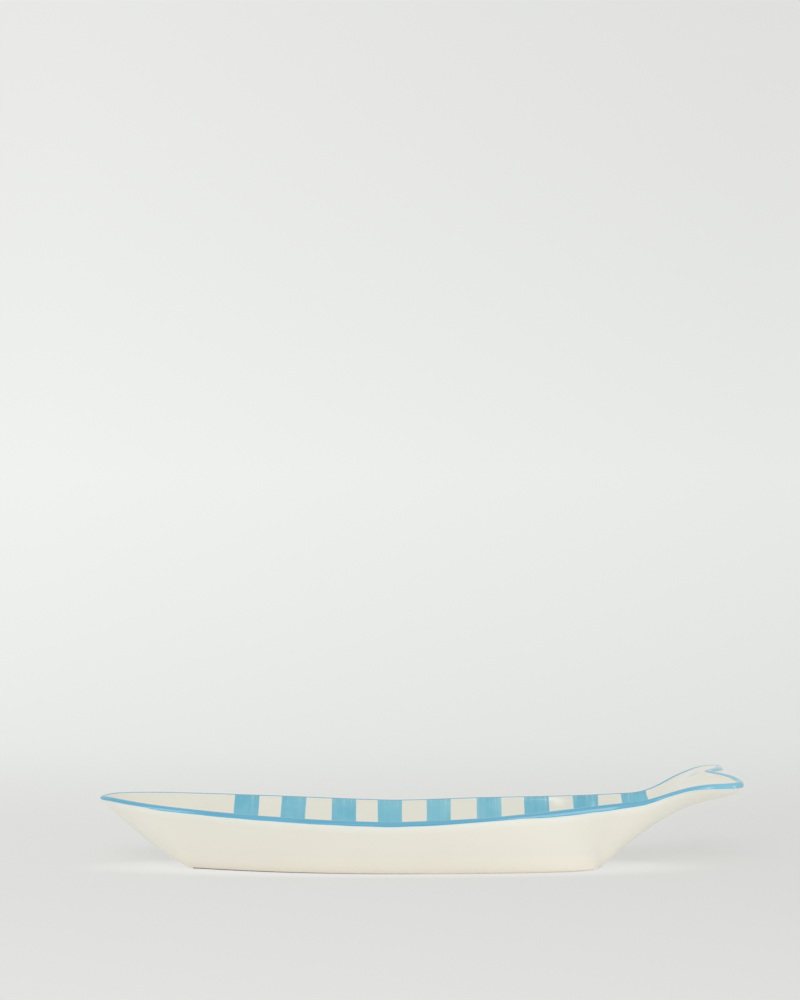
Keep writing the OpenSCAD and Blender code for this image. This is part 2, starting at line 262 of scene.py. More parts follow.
# the lip is thinner in the notch, and its line of colour reaches further in there
lipDeep, lipShallow, lineStart = [], [], []
for m, (i, j) in enumerate(loop):
    middle = 1 - colV[j] ** 2 if i == rowCount else 0
    lipDeep.append(alongTable(lipDepth, edgeIn[m].x) * mix(1, notchLip["deep"], middle))
    lipShallow.append(lipIn(rowX[i], colV[j]))
    lineStart.append(mix(rimLine["start"], notchLip["start"], ease(middle * 2)))


def overLip(edge, out, angle, shallow, deep, proud=0.0):  # from its inside edge at 0 to its outside at 180
    a = math.radians(angle)
    drop = shallow if angle < 90 else deep
    co = edge + out * dish["lip"] * (1 - math.cos(a)) / 2
    co.z += shallow - drop * (1 - math.sin(a))
    return co + (Vector((0, 0, math.sin(a))) - out * math.cos(a)) * proud


# outside surface: flat base, walls, nose and the underside of the tail
lipOut = [overLip(edgeIn[m], edgeDir[m], 180, lipShallow[m], lipDeep[m]) for m in range(loopCount)]
notchX = lipOut[rowCount + colCount // 2].x
tipX = [lipOut[rowCount + (0 if v < 0 else colCount)].x for v in colV]
forkShare = [(lipOut[rowCount + j].x - notchX) / (tipX[j] - notchX) for j in range(colCount + 1)]
tipRound = lipOut[rowCount].x - lipOut[rowCount - 1].x  # how far the lip goes on past the last row


def pastBase(x):  # 0 on the base, 1 at the nose and the tips
    return shareOf(x, keelNoseX, frontX) if x < keelNoseX else shareOf(x, keelTailX, tailIn)


def keelX(x):
    if x < keelNoseX:
        return mix(baseNoseX, -halfLength, pastBase(x))
    if x > keelTailX:
        return mix(baseTailX, notchX, pastBase(x))
    return mix(baseNoseX, baseTailX, ease(shareOf(x, keelNoseX, keelTailX)))


def ramp(d, width):  # from 0, its corner rounded over a width
    return max(d, 0) + (width * math.log(1 + math.exp(-abs(d) / width)) if width > 0 else 0)


def keelZ(x, top, corner):
    nose = clip(ramp(baseNoseX - keelX(x), corner) / dish["noseOver"]) ** curve["noseKeel"]
    tail = clip(ramp(keelX(x) - baseTailX, corner) / dish["tailOver"]) ** curve["tailKeel"]
    foot = dish["foot"]
    return foot + (top - foot) * nose + (dish["tailUnder"] - foot) * math.sin(math.pi / 2 * tail)


def outerPoint(i, j):
    x, v = rowX[i], colV[j]
    edge = lipOut[i]  # near side, and the far one mirrors its width and height
    beyond = pastBase(x)
    onWall = shareOf(abs(v), curve["keel"], 1)
    flat = mix(baseHalf(keelX(x)), -edge.y * curve["keel"], beyond)
    y = flat * abs(v) / curve["keel"] if onWall == 0 else mix(flat, -edge.y, onWall)
    level = baseHalf(keelX(x)) * (1 - beyond) ** curve["level"]
    reach = max(baseNoseX - keelX(x), keelX(x) - baseTailX, 0)
    power = mix(curve["wall"], curve["noseWall" if x < keelNoseX else "tailWall"], beyond)
    rise = softRise(shareOf(y, level, -edge.y), curve["soft"] - reach / edge.y) ** power
    under = keelZ(x, edge.z, curve["corner"] * (y - level))
    depth = (edge.z - under) * (1 - rise) * (1 - turn(x, dish["tailUnderTurn"]))
    along = forkShare[j] if x > keelTailX else onWall
    ownEdge = lipOut[loopAt[i, 0 if v < 0 else colCount]]
    endX = ownEdge.x + tipRound * bend(x) * (1 - v ** curve["tipFill"])
    return Vector((mix(keelX(x), endX, along), math.copysign(y, v), edge.z + notchLift(x, v) - depth))


# small helpers for meshes

def gridPlace(co):  # row and column of a vertex of a fresh grid that reaches from -1 to 1
    return round((co.x + 1) / 2 * rowCount), round((co.y + 1) / 2 * colCount)


def pullOut(bm, edges):  # extrudes a line of edges, and gives the new line and its vertices
    made = bmesh.ops.extrude_edge_only(bm, edges=edges)["geom"]
    verts = [part for part in made if isinstance(part, bmesh.types.BMVert)]
    fresh = set(verts)
    line = [part for part in made if isinstance(part, bmesh.types.BMEdge) and fresh.issuperset(part.verts)]
    return line, verts


def carryRound(bm, ring, path, lay):  # a ring of vertices laid at each stop of a path, then closed
    first = last = bm.edges[:]
    lay(ring, *path[0])
    for stop in path[1:]:
        last, verts = pullOut(bm, last)
        lay(verts, *stop)
    bmesh.ops.bridge_loops(bm, edges=first + last)
    bmesh.ops.recalc_face_normals(bm, faces=bm.faces)


def linkPiece(bm, name):  # finished bmesh in metres to an object at the origin
    for face in bm.faces:
        face.smooth = True
    mesh = bpy.data.meshes.new(name)
    bm.to_mesh(mesh)
    bm.free()
    piece = bpy.data.objects.new(name, mesh)
    scene.collection.objects.link(piece)
    return piece


def firePiece(bm, name):  # from millimetres, with the waver of the hand
    for vert in bm.verts:
        vert.co = waver(vert.co) * mm
    return linkPiece(bm, name)


def makeBody():
    bm = bmesh.new()
    atLip = bm.verts.layers.int.new("atLip")
    skin = bm.verts.layers.float_vector.new("skin")  # outside or not, and metres below the lip
    inside = bmesh.ops.create_grid(bm, x_segments=rowCount, y_segments=colCount, size=1)["verts"]
    for vert in inside:
        i, j = gridPlace(vert.co)
        vert[atLip] = loopAt.get((i, j), -1)
        vert.co = well[i][j]
    rim = [edge for edge in bm.edges if edge.is_boundary]
    for step in range(1, fineness["lipSteps"] + 1):  # up over the round of the lip and down outside
        over = step / fineness["lipSteps"]
        rim, verts = pullOut(bm, rim)
        for vert in verts:
            m = vert[atLip]
            vert[skin] = Vector((over, 0, 0))
            vert.co = overLip(edgeIn[m], edgeDir[m], 180 * over, lipShallow[m], lipDeep[m])
    outside = bmesh.ops.create_grid(bm, x_segments=rowCount, y_segments=colCount, size=1)["verts"]
    walls = []
    for vert in outside:
        i, j = gridPlace(vert.co)
        vert.co = lipOut[loopAt[i, j]] if (i, j) in loopAt else outerPoint(i, j)
        vert[skin] = Vector((1, max(0, lipOut[i].z - vert.co.z) * mm, 0))
        if (i, j) not in loopAt and vert.co.z > dish["foot"] + fineness["keptFoot"]:
            walls.append(vert)
    for step in range(fineness["smoothing"]):
        bmesh.ops.smooth_vert(bm, verts=walls, factor=0.5,
                              use_axis_x=True, use_axis_y=True, use_axis_z=True)
    bmesh.ops.remove_doubles(bm, verts=bm.verts, dist=fineness["weld"])
    bmesh.ops.recalc_face_normals(bm, faces=bm.faces)
    return firePiece(bm, "platterBody")


def makeStripe(k):
    firstX = plainHeadX + stripes["width"] / 2
    gap = (plainTailX - stripes["width"] / 2 - firstX) / (stripes["count"] - 1)
    centre = firstX + gap * (k + stripes["drift"][k])
    half = stripes["width"] / 2 + stripes["spread"]
    reach = half / (1 - stripes["edge"] / 2)  # its thin edges dip into the clay
    probe = stripes["probe"]
    perStripe, perSide = stripes["waverApart"]
    columns = colCount + 2 * stripes["lipSteps"]
    wellShare = colCount / columns  # the rest of each end climbs the lip and tucks under its line
    bm = bmesh.new()
    stroke = bm.verts.layers.float_vector.new("stroke")  # across, along and to the end, in metres
    thinned = bm.verts.layers.float.new("thinned")
    bmesh.ops.create_grid(bm, x_segments=stripes["steps"], y_segments=columns, size=1)
    for vert in bm.verts:
        s, u = vert.co.x, vert.co.y
        side = math.copysign(1, u)
        v = max(-1, min(1, u / wellShare))
        climb = shareOf(abs(u), wellShare, 1)
        alongEdge = v * wellHalf(centre) / stripes["waverSize"]
        place = Vector((k * perStripe, math.copysign(perSide, s), alongEdge))
        x = centre + stripes["bow"][k] * (abs(v) - stripes["trueAt"])
        x += s * (reach + noise.noise(place) * stripes["edgeWaver"])
        co = wellPoint(x, v)
        slopeX = wellPoint(x + probe, v) - wellPoint(x - probe, v)
        slopeV = wellPoint(x, min(1, v + probe)) - wellPoint(x, max(-1, v - probe))
        proud = mix(-stripes["lift"], stripes["lift"], ease((1 - abs(s)) / stripes["edge"]))
        if climb > 0:
            out = Vector((slopeX.y, -slopeX.x, 0)).normalized() * -side
            angle = climb * (rimLine["start"] + rimLine["edgeWaver"])
            vert.co = overLip(co, out, angle, dish["lipInDrop"], 0, proud)  # inside alone
        else:
            vert.co = co + slopeX.cross(slopeV).normalized() * proud
        toEnd = (1 - abs(v)) * wellHalf(x) + (1 - climb) * dish["lipInDrop"]
        vert[stroke] = Vector((s * reach, v * wellHalf(x), toEnd)) * mm
        vert[thinned] = stripes["thinned"][k]
    bmesh.ops.recalc_face_normals(bm, faces=bm.faces)
    if sum(face.normal.z for face in bm.faces) < 0:
        bmesh.ops.reverse_faces(bm, faces=bm.faces)
    bmesh.ops.solidify(bm, geom=bm.faces[:], thickness=stripes["lift"] + stripes["sunk"])
    bmesh.ops.recalc_face_normals(bm, faces=bm.faces)
    return firePiece(bm, "stripe%d" % (k + 1))


def makeRimLine():
    bm = bmesh.new()
    atLip = bm.verts.layers.int.new("atLip")
    stroke = bm.verts.layers.float_vector.new("stroke")  # share of the way over, and metres along
    ring = bmesh.ops.create_circle(bm, cap_ends=False, segments=loopCount, radius=1)["verts"]
    for m, vert in enumerate(ring):
        vert[atLip] = m

    def lay(verts, t, proud):
        for vert in verts:
            m = vert[atLip]
            shift = noise.noise(edgeIn[m] / rimLine["waverSize"]) * rimLine["edgeWaver"]
            angle = mix(lineStart[m] + shift, rimLine["end"] - shift, t)
            vert[stroke] = Vector((t, edgeAlong[m] * mm, 0))
            vert.co = overLip(edgeIn[m], edgeDir[m], angle, lipShallow[m], lipDeep[m], proud)

    # over the lip outwards, its edges dipping into the clay, then back just below the surface
    shares = [k / rimLine["steps"] for k in range(rimLine["steps"] + 1)]
    path = []
    for t in shares:
        path.append((t, mix(-rimLine["lift"], rimLine["lift"], ease(min(t, 1 - t) / rimLine["edge"]))))
    path += [(t, -rimLine["lift"] - rimLine["sunk"]) for t in reversed(shares)]
    carryRound(bm, ring, path, lay)
    return firePiece(bm, "rimLine")


# dry ring under the base, straight across at its two ends, its lower edges worn round
footRing = {
    "inset": 1.5, "width": 4, "endWidth": 9, "segments": 220, "blunt": 0.1, "buried": 0.3,
    "worn": 0.35, "wornRound": 0.3, "waver": 0.25, "waverTurns": (9, 5, 3),
}


def makeFootRing():
    bm = bmesh.new()
    turnAt = bm.verts.layers.float.new("turnAt")
    ring = bmesh.ops.create_circle(bm, cap_ends=False, segments=footRing["segments"], radius=1)["verts"]
    for k, vert in enumerate(ring):
        vert[turnAt] = 2 * math.pi * k / footRing["segments"]
    turnsX, turnsY, turnsIn = footRing["waverTurns"]
    halfWidth = dish["baseWidth"] / 2

    def lay(verts, inwards, z):  # inwards from 0 at the outer edge of the ring to 1 at its inner edge
        for vert in verts:
            c, s = math.cos(vert[turnAt]), math.sin(vert[turnAt])
            waved = noise.noise(Vector((c * turnsX, s * turnsY, inwards * turnsIn)))
            uneven = waved * footRing["waver"] * inwards
            longHalf = baseReach - footRing["inset"] - inwards * (footRing["endWidth"] + uneven)
            wideHalf = halfWidth - footRing["inset"] - inwards * (footRing["width"] + uneven)
            y = wideHalf * baseHalf(baseMidX + baseReach * c) / halfWidth
            y *= clip(abs(s) / footRing["blunt"])
            vert.co = Vector((baseMidX + longHalf * c, math.copysign(y, s), z))

    worn, part = footRing["worn"], footRing["wornRound"]
    share = worn / footRing["width"]
    top = dish["foot"] + footRing["buried"]
    path = [(0, top), (0, worn), (share * part, worn * part), (share, 0),
            (1 - share, 0), (1 - share * part, worn * part), (1, worn), (1, top)]
    carryRound(bm, ring, path, lay)
    return firePiece(bm, "footRing")


body = makeBody()
stripePieces = [makeStripe(k) for k in range(stripes["count"])]
rimPiece = makeRimLine()
footPiece = makeFootRing()
print("shapes made:", len(body.data.polygons), "faces in the body")


# materials

def toLinear(code):
    parts = [int(code[k:k + 2], 16) / 255 for k in (1, 3, 5)]
    return tuple(c / 12.92 if c < 0.04045 else ((c + 0.055) / 1.055) ** 2.4 for c in parts) + (1,)


def addNode(mat, kind, inputs=None, **settings):
    node = mat.node_tree.nodes.new(kind)
    for name, value in settings.items():
        setattr(node, name, value)
    for socket, value in (inputs or {}).items():
        if isinstance(value, bpy.types.NodeSocket):
            mat.node_tree.links.new(value, node.inputs[socket])
        else:
            node.inputs[socket].default_value = value
    return node


def newMaterial(name):
    mat = bpy.data.materials.new(name)
    mat.use_nodes = True
    mat.node_tree.nodes.clear()
    return mat


# earthenware under a cream glaze: glossy, a little cloudy where the glaze runs thick
cream = {
    # the inside copies are darker than the outside ones, though the glaze is one: painted shade inside the
    # dish
    "inside": "#DFDED1", "insideThin": "#DCD8CB", "outside": "#EBE9DF", "outsideThin": "#E9E6DA",
    "warmLit": "#F6ECDE", "litBand": "#F0EFE6", "seep": "#BFDDE2", "speck": "#B9AC98",
    "cloud": 46, "litBandDepth": 5, "seepDepth": 1.3, "seepShare": 0.45, "warmHeight": 14, "warmShare": 0.5,
    "speckSize": 2.2, "speckRare": 0.95, "speckReach": 0.12, "speckShare": 0.4,
    "ripple": 21, "rippleDepth": 0.06, "peel": 2.6, "peelDepth": 0.012, "relief": 0.5,
    "roughness": (0.08, 0.14), "ior": 1.5,
}


def creamColour(mat, place, thick, thin):
    cloud = addNode(mat, "ShaderNodeTexNoise", {
        "Vector": place, "Scale": 1 / (cream["cloud"] * mm), "Detail": 3})
    base = addNode(mat, "ShaderNodeMix", {
        0: cloud.outputs["Fac"], 6: toLinear(cream[thick]), 7: toLinear(cream[thin])}, data_type="RGBA")
    # few of the cells hold a faint speck of iron
    cells = addNode(mat, "ShaderNodeTexVoronoi", {"Vector": place, "Scale": 1 / (cream["speckSize"] * mm)})
    size = addNode(mat, "ShaderNodeSeparateColor", {"Color": cells.outputs["Color"]})
    rare = addNode(mat, "ShaderNodeMapRange", {
        "Value": size.outputs["Red"], "From Min": cream["speckRare"], "From Max": 1,
        "To Min": 0, "To Max": cream["speckReach"]})
    dot = addNode(mat, "ShaderNodeMath", {
        0: cells.outputs["Distance"], 1: rare.outputs["Result"]}, operation="LESS_THAN")
    faint = addNode(mat, "ShaderNodeMath", {
        0: dot.outputs["Value"], 1: cream["speckShare"]}, operation="MULTIPLY")
    speckled = addNode(mat, "ShaderNodeMix", {
        0: faint.outputs["Value"], 6: base.outputs[2], 7: toLinear(cream["speck"])}, data_type="RGBA")
    return speckled.outputs[2]


def glazeSurface(mat, place, colour):
    ripple = addNode(mat, "ShaderNodeTexNoise", {
        "Vector": place, "Scale": 1 / (cream["ripple"] * mm), "Detail": 1})
    peel = addNode(mat, "ShaderNodeTexNoise", {
        "Vector": place, "Scale": 1 / (cream["peel"] * mm), "Detail": 1})
    slow = addNode(mat, "ShaderNodeBump", {
        "Height": ripple.outputs["Fac"], "Strength": cream["relief"],
        "Distance": cream["rippleDepth"] * mm})
    fine = addNode(mat, "ShaderNodeBump", {
        "Height": peel.outputs["Fac"], "Strength": cream["relief"], "Distance": cream["peelDepth"] * mm,
        "Normal": slow.outputs["Normal"]})
    smooth, dull = cream["roughness"]
    gloss = addNode(mat, "ShaderNodeMapRange", {
        "Value": ripple.outputs["Fac"], "From Min": 0.3, "From Max": 0.7, "To Min": smooth, "To Max": dull})
    shader = addNode(mat, "ShaderNodeBsdfPrincipled", {
        "Base Color": colour, "Roughness": gloss.outputs["Result"], "IOR": cream["ior"],
        "Normal": fine.outputs["Normal"]})
    addNode(mat, "ShaderNodeOutputMaterial", {"Surface": shader.outputs["BSDF"]})


def creamGlaze():
    mat = newMaterial("cream glazed earthenware")
    place = addNode(mat, "ShaderNodeTexCoord").outputs["Object"]
    skin = addNode(mat, "ShaderNodeAttribute", attribute_name="skin").outputs["Vector"]
    side = addNode(mat, "ShaderNodeSeparateXYZ", {"Vector": skin})
    height = addNode(mat, "ShaderNodeSeparateXYZ", {"Vector": place})
    inside = creamColour(mat, place, "inside", "insideThin")
    outside = creamColour(mat, place, "outside", "outsideThin")
    # the darker inside copy stands for the shade inside the dish: painted shade
    colour = addNode(mat, "ShaderNodeMix", {0: side.outputs["X"], 6: inside, 7: outside}, data_type="RGBA")
    coats = [
        # painted highlight: paler just under the lip, where the wall turns to the light
        (side.outputs["Y"], 0, cream["litBandDepth"], 1, "litBand"),
        # a little of the blue runs down from the line on the lip
        (side.outputs["Y"], 0, cream["seepDepth"], cream["seepShare"], "seep"),
        # thin glaze near the foot, warmed by the clay, and lighter there: painted light against the shade
        # by the floor
        (height.outputs["Z"], dish["foot"], cream["warmHeight"], cream["warmShare"], "warmLit"),
    ]
    for value, start, end, most, tone in coats:
        fades = addNode(mat, "ShaderNodeMapRange", {
            "Value": value, "From Min": start * mm, "From Max": end * mm, "To Min": most, "To Max": 0})
        share = addNode(mat, "ShaderNodeMath", {
            0: fades.outputs["Result"], 1: side.outputs["X"]}, operation="MULTIPLY")
        colour = addNode(mat, "ShaderNodeMix", {
            0: share.outputs["Value"], 6: colour.outputs[2], 7: toLinear(cream[tone])}, data_type="RGBA")
    glazeSurface(mat, place, colour.outputs[2])
    return mat


# blue underglaze laid with a flat brush: soft streaks along the stroke, paler where it runs dry
blue = {
    "full": "#69AFC5", "thin": "#86C0CE", "deep": "#579BBA", "pale": "#84BDD1",
    "bristle": 1.1, "streak": 60, "patch": 17, "wash": (0.3, 0.8), "bristleShare": 0.4, "load": 0.2,
    "bleed": 0.5, "comb": 4, "combFrom": 0.5, "combTo": 0.7, "combEdge": (-0.5, 1), "combShare": 0.16,
    "lineBristles": 6, "lineEdge": 0.46, "paleFrom": 140, "paleTo": 190, "paleShare": 0.8,
}


def stripeColour():
    mat = newMaterial("blue underglaze stripe")
    place = addNode(mat, "ShaderNodeTexCoord").outputs["Object"]
    stroke = addNode(mat, "ShaderNodeAttribute", attribute_name="stroke").outputs["Vector"]
    across = addNode(mat, "ShaderNodeSeparateXYZ", {"Vector": stroke})
    alongStroke = 1 / (blue["streak"] * mm)
    drawn = addNode(mat, "ShaderNodeMapping", {
        "Vector": place, "Scale": (1 / (blue["bristle"] * mm), alongStroke, alongStroke)})
    bristles = addNode(mat, "ShaderNodeTexNoise", {
        "Vector": drawn.outputs["Vector"], "Scale": 1, "Detail": 2})
    patches = addNode(mat, "ShaderNodeTexNoise", {
        "Vector": place, "Scale": 1 / (blue["patch"] * mm), "Detail": 2})
    own = addNode(mat, "ShaderNodeAttribute", attribute_name="thinned").outputs["Fac"]
    base = addNode(mat, "ShaderNodeMath", {0: own, 1: blue["load"]}, operation="SUBTRACT")
    both = addNode(mat, "ShaderNodeMath", {
        0: bristles.outputs["Fac"], 1: blue["bristleShare"], 2: base.outputs["Value"]},
        operation="MULTIPLY_ADD")
    load = addNode(mat, "ShaderNodeMath", {
        0: patches.outputs["Fac"], 1: both.outputs["Value"]}, operation="ADD")
    wash = addNode(mat, "ShaderNodeMapRange", {
        "Value": load.outputs["Value"], "From Min": blue["wash"][0], "From Max": blue["wash"][1]})
    paint = addNode(mat, "ShaderNodeMix", {
        0: wash.outputs["Result"], 6: toLinear(blue["full"]), 7: toLinear(blue["thin"])}, data_type="RGBA")
    # colour runs out over the last millimetre at the sides, in a soft edge
    half = stripes["width"] / 2 + stripes["spread"]
    side = addNode(mat, "ShaderNodeMath", {0: across.outputs["X"]}, operation="ABSOLUTE")
    edge = addNode(mat, "ShaderNodeMapRange", {
        "Value": side.outputs["Value"], "From Min": (half - blue["bleed"]) * mm, "From Max": half * mm,
        "To Min": 0, "To Max": 1}, interpolation_type="SMOOTHSTEP")
    # pale comb marks of uneven length where the brush was set down by the lip
    mark = addNode(mat, "ShaderNodeMapRange", {
        "Value": bristles.outputs["Fac"], "From Min": blue["combFrom"], "From Max": blue["combTo"],
        "To Min": 0, "To Max": blue["comb"] * mm})
    left = addNode(mat, "ShaderNodeMath", {
        0: mark.outputs["Result"], 1: across.outputs["Z"]}, operation="SUBTRACT")
    combStart, combEnd = blue["combEdge"]
    comb = addNode(mat, "ShaderNodeMapRange", {
        "Value": left.outputs["Value"], "From Min": combStart * mm, "From Max": combEnd * mm,
        "To Min": 0, "To Max": blue["combShare"]})
    bare = addNode(mat, "ShaderNodeMath", {
        0: edge.outputs["Result"], 1: comb.outputs["Result"]}, operation="MAXIMUM")
    # the cream at the stroke's edges is the darker inside copy: painted shade
    under = creamColour(mat, place, "inside", "insideThin")
    colour = addNode(mat, "ShaderNodeMix", {
        0: bare.outputs["Value"], 6: paint.outputs[2], 7: under}, data_type="RGBA")
    glazeSurface(mat, place, colour.outputs[2])
    return mat


def rimColour():
    mat = newMaterial("blue underglaze line")
    place = addNode(mat, "ShaderNodeTexCoord").outputs["Object"]
    where = addNode(mat, "ShaderNodeSeparateXYZ", {"Vector": place})
    stroke = addNode(mat, "ShaderNodeAttribute", attribute_name="stroke").outputs["Vector"]
    part = addNode(mat, "ShaderNodeSeparateXYZ", {"Vector": stroke})
    drawn = addNode(mat, "ShaderNodeMapping", {
        "Vector": stroke, "Scale": (blue["lineBristles"], 1 / (blue["streak"] * mm), 1)})
    bristles = addNode(mat, "ShaderNodeTexNoise", {
        "Vector": drawn.outputs["Vector"], "Scale": 1, "Detail": 2})
    wash = addNode(mat, "ShaderNodeMapRange", {
        "Value": bristles.outputs["Fac"], "From Min": blue["wash"][0], "From Max": blue["wash"][1]})
    paint = addNode(mat, "ShaderNodeMix", {
        0: wash.outputs["Result"], 6: toLinear(blue["deep"]), 7: toLinear(blue["full"])}, data_type="RGBA")
    # the line turns paler along the tail
    paling = addNode(mat, "ShaderNodeMapRange", {
        "Value": where.outputs["X"], "From Min": blue["paleFrom"] * mm, "From Max": blue["paleTo"] * mm,
        "To Min": 0, "To Max": blue["paleShare"]})
    worn = addNode(mat, "ShaderNodeMix", {
        0: paling.outputs["Result"], 6: paint.outputs[2], 7: toLinear(blue["pale"])}, data_type="RGBA")
    # the colour thins towards both edges of the line
    edge = addNode(mat, "ShaderNodeMath", {0: part.outputs["X"], 1: 0.5}, operation="SUBTRACT")
    far = addNode(mat, "ShaderNodeMath", {0: edge.outputs["Value"]}, operation="ABSOLUTE")
    bare = addNode(mat, "ShaderNodeMapRange", {
        "Value": far.outputs["Value"], "From Min": blue["lineEdge"], "From Max": 0.5},
        interpolation_type="SMOOTHSTEP")
    under = creamColour(mat, place, "outside", "outsideThin")
    colour = addNode(mat, "ShaderNodeMix", {
        0: bare.outputs["Result"], 6: worn.outputs[2], 7: under}, data_type="RGBA")
    glazeSurface(mat, place, colour.outputs[2])
    return mat


# unglazed earthenware: matt, gritty, darker towards the nose; its pale end is near white, painted light
# against the shade under the base
clay = {
    "darkNose": "#94796A", "paleTail": "#FDF2E2", "darkNoseTo": -95, "paleTailFrom": 15,
    "blotch": 14, "blotchReach": 50, "grit": 0.7, "gritDepth": 0.1, "relief": 0.4,
    "roughness": 0.85, "ior": 1.5,
}


def bareClay():
    mat = newMaterial("bare earthenware")
    place = addNode(mat, "ShaderNodeTexCoord").outputs["Object"]
    along = addNode(mat, "ShaderNodeSeparateXYZ", {"Vector": place})
    blotch = addNode(mat, "ShaderNodeTexNoise", {
        "Vector": place, "Scale": 1 / (clay["blotch"] * mm), "Detail": 4})
    reach = clay["blotchReach"] * mm
    patchy = addNode(mat, "ShaderNodeMath", {
        0: blotch.outputs["Fac"], 1: reach, 2: -reach / 2}, operation="MULTIPLY_ADD")
    shifted = addNode(mat, "ShaderNodeMath", {
        0: along.outputs["X"], 1: patchy.outputs["Value"]}, operation="ADD")
    # share towards the near-white tail tone, painted light that lifts the shade under the base
    paleTail = addNode(mat, "ShaderNodeMapRange", {
        "Value": shifted.outputs["Value"],
        "From Min": clay["darkNoseTo"] * mm, "From Max": clay["paleTailFrom"] * mm})
    colour = addNode(mat, "ShaderNodeMix", {
        0: paleTail.outputs["Result"], 6: toLinear(clay["darkNose"]), 7: toLinear(clay["paleTail"])},
        data_type="RGBA")
    grit = addNode(mat, "ShaderNodeTexNoise", {
        "Vector": place, "Scale": 1 / (clay["grit"] * mm), "Detail": 2})
    rough = addNode(mat, "ShaderNodeBump", {
        "Height": grit.outputs["Fac"], "Strength": clay["relief"], "Distance": clay["gritDepth"] * mm})
    shader = addNode(mat, "ShaderNodeBsdfPrincipled", {
        "Base Color": colour.outputs[2], "Roughness": clay["roughness"], "IOR": clay["ior"],
        "Normal": rough.outputs["Normal"]})
    addNode(mat, "ShaderNodeOutputMaterial", {"Surface": shader.outputs["BSDF"]})
    return mat


def dress(piece, mat, node):
    piece.data.materials.append(mat)
    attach(piece, "root")
    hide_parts(node)


dress(body, creamGlaze(), "platter_body")
dress(footPiece, bareClay(), "foot_ring")
dress(rimPiece, rimColour(), "rim_line")
stripeMat = stripeColour()
for k, piece in enumerate(stripePieces):
    dress(piece, stripeMat, "stripe_%d" % (k + 1))
print("pieces dressed")

# pale paper sweep: floor, a wide curve and the upright behind, in metres
sweep = {
    "near": -2.4, "curveStart": 0.62, "radius": 0.75, "top": 3.2, "width": 6.0, "curveSteps": 24,
    "weld": 1e-5, "paper": "#F2F2F0", "litBehind": 0.3,
    # how the light falls off from the left to the right of the dish
    "leftToRight": {"from": (-0.4, 1.04), "to": (0.4, 0.96)},
    # tone and share of even glow from the floor in front to the top of the upright, by the way along it
    "tones": [(-0.45, "#E0E0DE", 0.8), (-0.1, "#DDDDDB", 0.8), (0.0, "#DDDDDB", 0.8),
              (0.07, "#DEDEDC", 0.45), (0.25, "#DFE0DD", 0.5), (0.76, "#E6E8E5", 0.75),
              (1.45, "#ECEEEC", 1), (2.2, "#E4E5E3", 1)],
    # light thrown on the paper by the pale wall of the dish, strongest at its foot
    "spill": {"centre": (-0.0135, 0), "reach": (0.129, 0.0325), "fade": 1.7, "gain": 0.14},
}


def sweepPaper():
    mat = newMaterial("matt backdrop paper")
    place = addNode(mat, "ShaderNodeTexCoord").outputs["Object"]
    part = addNode(mat, "ShaderNodeSeparateXYZ", {"Vector": place})
    run = addNode(mat, "ShaderNodeMath", {0: part.outputs["Y"], 1: part.outputs["Z"]}, operation="ADD")
    first, last = sweep["tones"][0][0], sweep["tones"][-1][0]
    way = addNode(mat, "ShaderNodeMapRange", {
        "Value": run.outputs["Value"], "From Min": first, "From Max": last})
    tones = addNode(mat, "ShaderNodeValToRGB", {"Fac": way.outputs["Result"]})
    stops = tones.color_ramp.elements
    for at, code, glow in sweep["tones"][1:-1]:
        stops.new(shareOf(at, first, last))
    for stop, (at, code, glow) in zip(stops, sweep["tones"]):
        stop.color = toLinear(code)[:3] + (glow,)  # the glow rides in the alpha
    (leftX, leftTone), (rightX, rightTone) = sweep["leftToRight"]["from"], sweep["leftToRight"]["to"]
    fall = addNode(mat, "ShaderNodeMapRange", {
        "Value": part.outputs["X"], "From Min": leftX, "From Max": rightX,
        "To Min": leftTone, "To Max": rightTone})
    spill = sweep["spill"]
    (midX, midY), (reachX, reachY) = spill["centre"], spill["reach"]
    foot = addNode(mat, "ShaderNodeMapping", {
        "Vector": place, "Scale": (1 / reachX, 1 / reachY, 0),
        "Location": (-midX / reachX, -midY / reachY, 0)})
    away = addNode(mat, "ShaderNodeVectorMath", {0: foot.outputs["Vector"]}, operation="LENGTH")
    thrown = addNode(mat, "ShaderNodeMapRange", {
        "Value": away.outputs["Value"], "From Min": 1, "From Max": spill["fade"],
        "To Min": 1 + spill["gain"], "To Max": 1}, interpolation_type="SMOOTHSTEP")
    level = addNode(mat, "ShaderNodeMath", {
        0: fall.outputs["Result"], 1: thrown.outputs["Result"]}, operation="MULTIPLY")
    seen = addNode(mat, "ShaderNodeVectorMath", {
        0: tones.outputs["Color"], "Scale": level.outputs["Value"]}, operation="SCALE")
    # the eye and the gloss see these tones, and all other light meets plain paper
    rays = addNode(mat, "ShaderNodeLightPath")
    direct = addNode(mat, "ShaderNodeMath", {
        0: rays.outputs["Is Camera Ray"], 1: rays.outputs["Is Glossy Ray"]}, operation="MAXIMUM")
    colour = addNode(mat, "ShaderNodeMix", {
        0: direct.outputs["Value"], 6: toLinear(sweep["paper"]), 7: seen.outputs["Vector"]},
        data_type="RGBA")
    even = addNode(mat, "ShaderNodeMath", {
        0: tones.outputs["Alpha"], 1: direct.outputs["Value"]}, operation="MULTIPLY")
    lit = addNode(mat, "ShaderNodeMath", {
        0: even.outputs["Value"], 1: sweep["litBehind"]}, operation="MAXIMUM")
    matt = addNode(mat, "ShaderNodeBsdfDiffuse", {"Color": colour.outputs[2]})
    bright = addNode(mat, "ShaderNodeEmission", {"Color": colour.outputs[2], "Strength": 1})
    both = addNode(mat, "ShaderNodeMixShader", {
        0: lit.outputs["Value"], 1: matt.outputs["BSDF"], 2: bright.outputs["Emission"]})
    addNode(mat, "ShaderNodeOutputMaterial", {"Surface": both.outputs["Shader"]})
    return mat


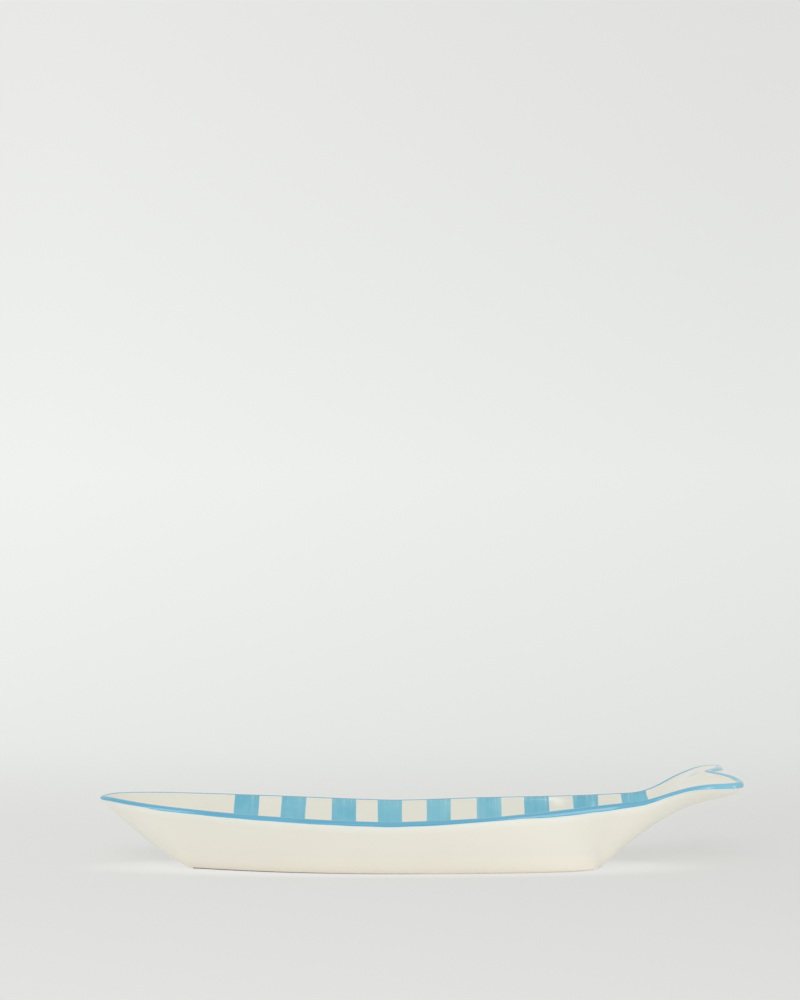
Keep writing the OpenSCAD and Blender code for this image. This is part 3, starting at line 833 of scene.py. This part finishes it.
def makeSweep():
    bm = bmesh.new()
    ends = [bm.verts.new((side * sweep["width"] / 2, sweep["near"], 0)) for side in (-1, 1)]
    line, verts = pullOut(bm, [bm.edges.new(ends)])
    bmesh.ops.translate(bm, verts=verts, vec=(0, sweep["curveStart"] - sweep["near"], 0))
    spun = bmesh.ops.spin(bm, geom=line + list(line[0].verts), axis=(1, 0, 0), angle=math.pi / 2,
                          steps=sweep["curveSteps"], cent=(0, sweep["curveStart"], sweep["radius"]))
    line = [part for part in spun["geom_last"] if isinstance(part, bmesh.types.BMEdge)]
    line, verts = pullOut(bm, line)
    bmesh.ops.translate(bm, verts=verts, vec=(0, 0, sweep["top"] - sweep["radius"]))
    bmesh.ops.remove_doubles(bm, verts=bm.verts, dist=sweep["weld"])
    bmesh.ops.recalc_face_normals(bm, faces=bm.faces)
    paper = linkPiece(bm, "sweep")
    paper.data.materials.append(sweepPaper())


makeSweep()

# light: an even tent, a key from the front above, and two tall boxes that draw a highlight along the lip
tent = {"colour": "#FFFFFF", "strength": 0.84}
lamps = {
    "key": {"at": (-0.2, -1.75, 1.0), "aim": (0, 0, 0.03), "size": (1.0, 0.8), "watts": 12, "gloss": False},
    "stripLeft": {"at": (-1.63, -1.13, 1.05), "aim": (-0.15, 0, 1.05), "size": (0.7, 1.9),
                  "watts": 14.6, "gloss": True},
    "stripRight": {"at": (1.35, -1.5, 1.05), "aim": (0.1, 0, 1.05), "size": (0.8, 1.9),
                   "watts": 16.7, "gloss": True},
}
world = bpy.data.worlds.new("tent")
scene.world = world
world.use_nodes = True
background = world.node_tree.nodes["Background"]
background.inputs["Color"].default_value = toLinear(tent["colour"])
background.inputs["Strength"].default_value = tent["strength"]
for name, box in lamps.items():
    lamp = bpy.data.lights.new(name, "AREA")
    lamp.shape = "RECTANGLE"
    lamp.size, lamp.size_y = box["size"]
    lamp.energy = box["watts"]
    lampObj = bpy.data.objects.new(name, lamp)
    lampObj.location = box["at"]
    lampObj.rotation_euler = (Vector(box["aim"]) - Vector(box["at"])).to_track_quat("-Z", "Y").to_euler()
    lampObj.visible_glossy = box["gloss"]  # the tall boxes show in the gloss alone
    lampObj.visible_diffuse = not box["gloss"]
    scene.collection.objects.link(lampObj)

# level camera in front of the dish, a little above it
view = {"at": (-10.2, -1625, 232.4), "focalPixels": 2566, "framePixels": 1000, "sensor": 36}
camera = bpy.data.cameras.new("camera")
camera.sensor_width = view["sensor"]
camera.lens = view["focalPixels"] / view["framePixels"] * camera.sensor_width
cameraObj = bpy.data.objects.new("camera", camera)
cameraObj.location = [c * mm for c in view["at"]]
cameraObj.rotation_euler = (math.pi / 2, 0, 0)
scene.collection.objects.link(cameraObj)
scene.camera = cameraObj
print("light and camera set")
